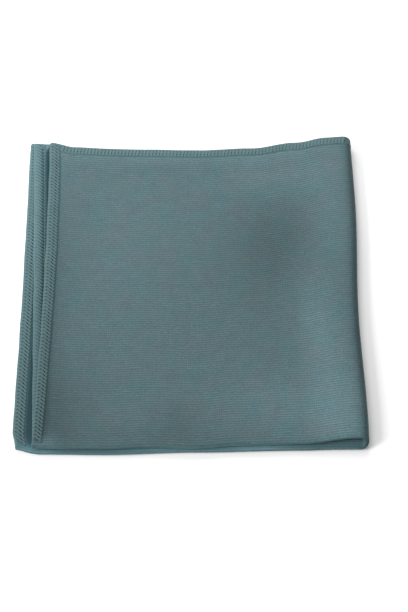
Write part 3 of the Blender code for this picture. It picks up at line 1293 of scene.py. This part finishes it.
@dataclass
class HemThread:
    """The thread of all four hems: one flat helical turn for each stitch, and the needle's line.

    A turn starts inside the needle's line on the outer face, goes out round the edge, and comes
    back on the inner face. It leans along the hem from slant_start inwards.
    """

    fold: FoldedShape
    finish: ThreadFinish = field(default_factory=ThreadFinish)
    pitch: float = 2.2 * MM
    slant: float = 0.72
    cross_slant: float = 0.22
    slant_start: float = 2.6 * MM
    corner_start: float = 0.8 * MM
    cross_start: float = 7.0 * MM
    keep_off: float = 0.6 * MM
    jitter: float = 0.16 * MM
    narrow: float = 0.92
    cross_fill: float = 0.25
    jitter_step: float = 0.83
    jitter_apart: float = 11.0
    jitter_start: float = 0.3
    turn: tuple[StrandStep, ...] = (
        StrandStep(6.75 * MM, 0.50 * MM, 0.80 * MM, 0.12 * MM),
        StrandStep(6.20 * MM, 0.70 * MM, 0.98 * MM, 0.15 * MM),
        StrandStep(5.50 * MM, 0.74 * MM, 1.02 * MM, 0.15 * MM),
        StrandStep(4.50 * MM, 0.73 * MM, 0.64 * MM, 0.15 * MM),
        StrandStep(3.50 * MM, 0.77 * MM, 1.02 * MM, 0.11 * MM),
        StrandStep(2.70 * MM, 0.79 * MM, 1.05 * MM, 0.10 * MM),
        StrandStep(1.90 * MM, 0.79 * MM, 0.68 * MM, 0.11 * MM),
        StrandStep(1.20 * MM, 0.74 * MM, 1.05 * MM, 0.10 * MM),
        StrandStep(0.50 * MM, 0.62 * MM, 1.06 * MM, 0.08 * MM),
        StrandStep(0.12 * MM, 0.42 * MM, 1.00 * MM, 0.08 * MM),
        StrandStep(-0.02 * MM, 0.00 * MM, 0.98 * MM, 0.08 * MM),
    )
    turn_back: tuple[StrandStep, ...] = (
        StrandStep(0.12 * MM, -0.42 * MM, 1.00 * MM, 0.08 * MM),
        StrandStep(0.60 * MM, -0.64 * MM, 1.03 * MM, 0.08 * MM),
        StrandStep(2.60 * MM, -0.79 * MM, 1.01 * MM, 0.10 * MM),
        StrandStep(4.30 * MM, -0.74 * MM, 0.88 * MM, 0.15 * MM),
        StrandStep(6.20 * MM, -0.46 * MM, 0.60 * MM, 0.12 * MM),
    )
    needle_inward: float = 6.55 * MM
    needle_length: float = 0.36
    needle_half: float = 0.28 * MM
    needle_heights: tuple[float, ...] = (0.40 * MM, 0.58 * MM, 0.62 * MM, 0.58 * MM, 0.40 * MM)
    needle_depth: float = 0.7
    needle_top: float = 0.6
    cut_merge: float = 1e-6

    def cut_bar(self, length: Vector, count: int) -> bmesh.types.BMesh:
        """Makes a bar that goes from -1 to 1 in each direction, with even cuts across it.

        Args:
            length: the direction of its length.
            count: how many lengths the cuts part it in.

        Returns:
            The closed bar.
        """
        shape = bmesh.new()
        bmesh.ops.create_cube(shape, size=2.0)
        for cut in range(1, count):
            bmesh.ops.bisect_plane(
                shape,
                geom=shape.verts[:] + shape.edges[:] + shape.faces[:],
                dist=self.cut_merge,
                plane_co=length * mix(-1, 1, cut / count),
                plane_no=length,
            )
        return shape

    def strand(self, hem: Hem) -> bmesh.types.BMesh:
        """Makes one turn of thread, with x along the hem, y inwards and z over the sheet's middle.

        Args:
            hem: the hem that it is for, which sets how far it leans and how wide it is.

        Returns:
            A closed strand of four flat sides, with its long edges sharp.
        """
        slant = self.cross_slant if hem.crosses else self.slant
        fill = self.cross_fill if hem.crosses else 0.0
        steps = self.turn + self.turn_back
        count = len(steps) - 1
        shape = self.cut_bar(Vector((0, 1, 0)), count)
        for edge in shape.edges:
            edge.smooth = edge.verts[0].co.y == edge.verts[1].co.y
        for vert in shape.verts:
            index = round((vert.co.y + 1) / 2 * count)
            step = steps[index]
            before, after = steps[max(index - 1, 0)], steps[min(index + 1, count)]
            run_y, run_z = after.inward - before.inward, after.height - before.height
            length = math.hypot(run_y, run_z)
            out_y, out_z = run_z / length, -run_y / length
            side, over = vert.co.x, vert.co.z
            narrow = 1.0 if over < 0 else self.narrow
            shift = math.copysign(max(step.inward - self.slant_start, 0.0) * slant, step.height)
            half_width = mix(step.half_width * narrow, self.pitch / 2, fill)
            vert.co.x = shift + side * half_width
            vert.co.y = step.inward + out_y * over * step.half_depth
            vert.co.z = step.height + out_z * over * step.half_depth
        return shape

    def needle_stitch(self, face: Face) -> bmesh.types.BMesh:
        """Makes one short stitch of the needle's line on one face.

        Args:
            face: the face that it lies on.

        Returns:
            A closed stitch, along the hem.
        """
        count = len(self.needle_heights) - 1
        shape = self.cut_bar(Vector((1, 0, 0)), count)
        for vert in shape.verts:
            index = round((vert.co.x + 1) / 2 * count)
            side, over = vert.co.y, vert.co.z
            half_width = self.needle_half * (1.0 if over < 0 else self.needle_top)
            height = self.needle_heights[index] + over * self.needle_half * self.needle_depth
            vert.co.x = vert.co.x * self.pitch * self.needle_length
            vert.co.y = self.needle_inward + side * half_width
            vert.co.z = height * face.value
        if face is Face.INNER:
            bmesh.ops.reverse_faces(shape, faces=shape.faces[:])
        return shape

    def repeat(self, shape: bmesh.types.BMesh, count: int) -> None:
        """Repeats a stitch along x, a pitch apart, by copying what is there again and again.

        Args:
            shape: one stitch, which becomes a row of them.
            count: how many stitches the row has.
        """
        made = 1
        while made < count:
            more = min(made, count - made)
            cells = shape.faces[: len(shape.faces) // made * more]
            corners = dict.fromkeys(vert for cell in cells for vert in cell.verts)
            edges = dict.fromkeys(edge for cell in cells for edge in cell.edges)
            copied = bmesh.ops.duplicate(shape, geom=[*corners, *edges, *cells])
            fresh = [part for part in copied["geom"] if isinstance(part, bmesh.types.BMVert)]
            bmesh.ops.translate(shape, verts=fresh, vec=(made * self.pitch, 0, 0))
            made += more

    def flat_place(self, hem: Hem, place: float, inward: float) -> tuple[float, float]:
        """Turns a place on a hem into one on the flat cloth.

        Args:
            hem: the hem.
            place: the place along the hem, going round the cloth.
            inward: the distance from the cloth's edge, in the hem table's measure.

        Returns:
            The place across the flat cloth and the place along it.
        """
        flat = self.fold.flat
        if hem is Hem.LEFT:
            return inward * flat.side_share(0.0, place), place
        if hem is Hem.FRONT:
            return place, flat.length - inward * flat.cross_share
        if hem is Hem.RIGHT:
            return flat.width - inward, flat.length - place
        return flat.width - place, inward * flat.cross_share

    def whole_stitches(self, corners: list[bmesh.types.BMVert]) -> list[bmesh.types.BMVert]:
        """Adds to some corners all the others of the same stitches.

        Args:
            corners: corners of one or more stitches.

        Returns:
            All the corners of these stitches.
        """
        found, waiting = set(corners), list(corners)
        while waiting:
            for edge in waiting.pop().link_edges:
                for other in edge.verts:
                    if other not in found:
                        found.add(other)
                        waiting.append(other)
        return list(found)

    def sew(self, shape: bmesh.types.BMesh, hem: Hem) -> bmesh.types.BMesh:
        """Repeats one stitch along a hem, leaves out those at the front crease, and folds the rest.

        Args:
            shape: the stitch, which becomes the whole hem's.
            hem: the hem.

        Returns:
            The same shape.
        """
        flat, fold = self.fold.flat, self.fold
        total = flat.width if hem.crosses else flat.length
        start = self.cross_start if hem.crosses else self.corner_start
        count = int((total - 2 * start) / self.pitch)
        first = (total - (count - 1) * self.pitch) / 2
        self.repeat(shape, count)
        # The thread takes its hem's painted light and shade.
        painted_light_and_shade = shape.verts.layers.float.new("painted_light_and_shade")
        at_crease = []
        for vert in shape.verts:
            number = round(vert.co.x / self.pitch)
            spot = Vector((number * self.jitter_step, hem.value * self.jitter_apart, self.jitter_start))
            place = vert.co.x + first + self.jitter * noise.noise(spot)
            place = min(max(place, self.corner_start), total - self.corner_start)
            across, along = self.flat_place(hem, place, vert.co.y)
            vert.co = fold.centre(fold.fold_point(*flat.round_corner(across, along), vert.co.z))
            vert[painted_light_and_shade] = fold.hem_painted_shading(across, along)
            in_crease = fold.front_start - self.keep_off < along < fold.front_end + self.keep_off
            if in_crease and not hem.crosses:
                at_crease.append(vert)
        bmesh.ops.delete(shape, geom=self.whole_stitches(at_crease), context="VERTS")
        return shape

    def gather(self, name: str, stitches: list[bmesh.types.BMesh]) -> bpy.types.Object:
        """Joins the four hems' stitches in one object.

        Args:
            name: the object's name.
            stitches: each hem's stitches, which are used up.

        Returns:
            The object.
        """
        whole = bmesh.new()
        for shape in stitches:
            mesh = bpy.data.meshes.new("hem")
            shape.to_mesh(mesh)
            shape.free()
            whole.from_mesh(mesh)
            bpy.data.meshes.remove(mesh)
        return dress(name, whole, self.finish.make())

    def build(self) -> list[bpy.types.Object]:
        """Makes the thread of all hems.

        Returns:
            The overlocked thread and the needle's line.
        """
        turns, lines = [], []
        for hem in Hem:
            turns.append(self.sew(self.strand(hem), hem))
            lines += [self.sew(self.needle_stitch(face), hem) for face in Face]
        return [self.gather("overlock_thread", turns), self.gather("needle_thread", lines)]


@dataclass
class Studio:
    """The pale floor, the soft lights and the camera."""

    aim: tuple[float, float, float] = (0.0083, -0.0106, 0.0)
    distance: float = 0.700
    height_deg: float = 66.4
    lens_mm: float = 67.76
    film_mm: float = 36.0
    floor_size: float = 6.0
    floor_cells: int = 8
    key_azimuth_deg: float = 190.0
    key_height_deg: float = 30.0
    key_distance: float = 1.4
    key_size: float = 0.7
    key_power: float = 25.0
    back_place: tuple[float, float, float] = (-0.04, 0.46, 0.38)
    back_size: float = 0.40
    back_power: float = 3.5
    sky: float = 0.425
    sky_tint: Tint = Tint(1.0, 1.0, 1.0)
    clip_start: float = 0.01

    def lay_floor(self) -> None:
        """Makes the floor."""
        shape = bmesh.new()
        cells = self.floor_cells
        bmesh.ops.create_grid(shape, x_segments=cells, y_segments=cells, size=self.floor_size / 2)
        floor = dress("floor", shape, FloorFinish().make())
        floor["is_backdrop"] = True

    def hang_lamp(self, name: str, place: Vector, size: float, power: float) -> None:
        """Hangs a soft square lamp that shines at the cloth.

        Args:
            name: the lamp's name.
            place: where it hangs.
            size: its side.
            power: its power in watts.
        """
        lamp = bpy.data.lights.new(name, "AREA")
        lamp.shape = "SQUARE"
        lamp.size = size
        lamp.energy = power
        holder = bpy.data.objects.new(name, lamp)
        holder.location = place
        holder.rotation_euler = (-place).to_track_quat("-Z", "Y").to_euler()
        bpy.context.scene.collection.objects.link(holder)

    def light(self) -> None:
        """Sets the lamps and the pale surroundings."""
        azimuth, rise = math.radians(self.key_azimuth_deg), math.radians(self.key_height_deg)
        level = math.cos(rise)
        toward = Vector((math.cos(azimuth) * level, math.sin(azimuth) * level, math.sin(rise)))
        self.hang_lamp("key", toward * self.key_distance, self.key_size, self.key_power)
        self.hang_lamp("back", Vector(self.back_place), self.back_size, self.back_power)
        world = bpy.data.worlds.new("pale room")
        world.use_nodes = True
        backdrop = world.node_tree.nodes["Background"]
        backdrop.inputs["Color"].default_value = self.sky_tint.rgba()
        backdrop.inputs["Strength"].default_value = self.sky
        bpy.context.scene.world = world

    def place_camera(self) -> None:
        """Makes the camera at the photograph's viewing angle."""
        rise = math.radians(self.height_deg)
        back = Vector((0.0, -math.cos(rise), math.sin(rise)))
        lens = bpy.data.cameras.new("camera")
        lens.lens = self.lens_mm
        lens.sensor_fit = "VERTICAL"
        lens.sensor_height = self.film_mm
        lens.clip_start = self.clip_start
        camera = bpy.data.objects.new("camera", lens)
        camera.location = Vector(self.aim) + back * self.distance
        camera.rotation_euler = back.to_track_quat("Z", "Y").to_euler()
        bpy.context.scene.collection.objects.link(camera)
        bpy.context.scene.camera = camera

    def build(self) -> None:
        """Sets up the whole studio."""
        self.lay_floor()
        self.light()
        self.place_camera()
        bpy.context.scene.view_settings.view_transform = "Standard"


def box_numbers(box: tuple[Vector, Vector]) -> list[list[float]]:
    """Turns a box's corners into plain numbers."""
    return [list(corner) for corner in box]


def main() -> None:
    logging.basicConfig(level=logging.INFO, format="%(name)s %(message)s")
    fold = FoldedShape()
    cloth = ClothSheet(fold).build()
    threads = HemThread(fold).build()
    Studio().build()

    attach(cloth, "root")
    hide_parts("cloth")
    for thread in threads:
        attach(thread, "root")
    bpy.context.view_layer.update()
    for name, box in (("solids", CAD_BOX), ("looks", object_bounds())):
        LOG.info("%s reach from %s to %s", name, *box_numbers(box))


if __name__ == "__main__":
    main()
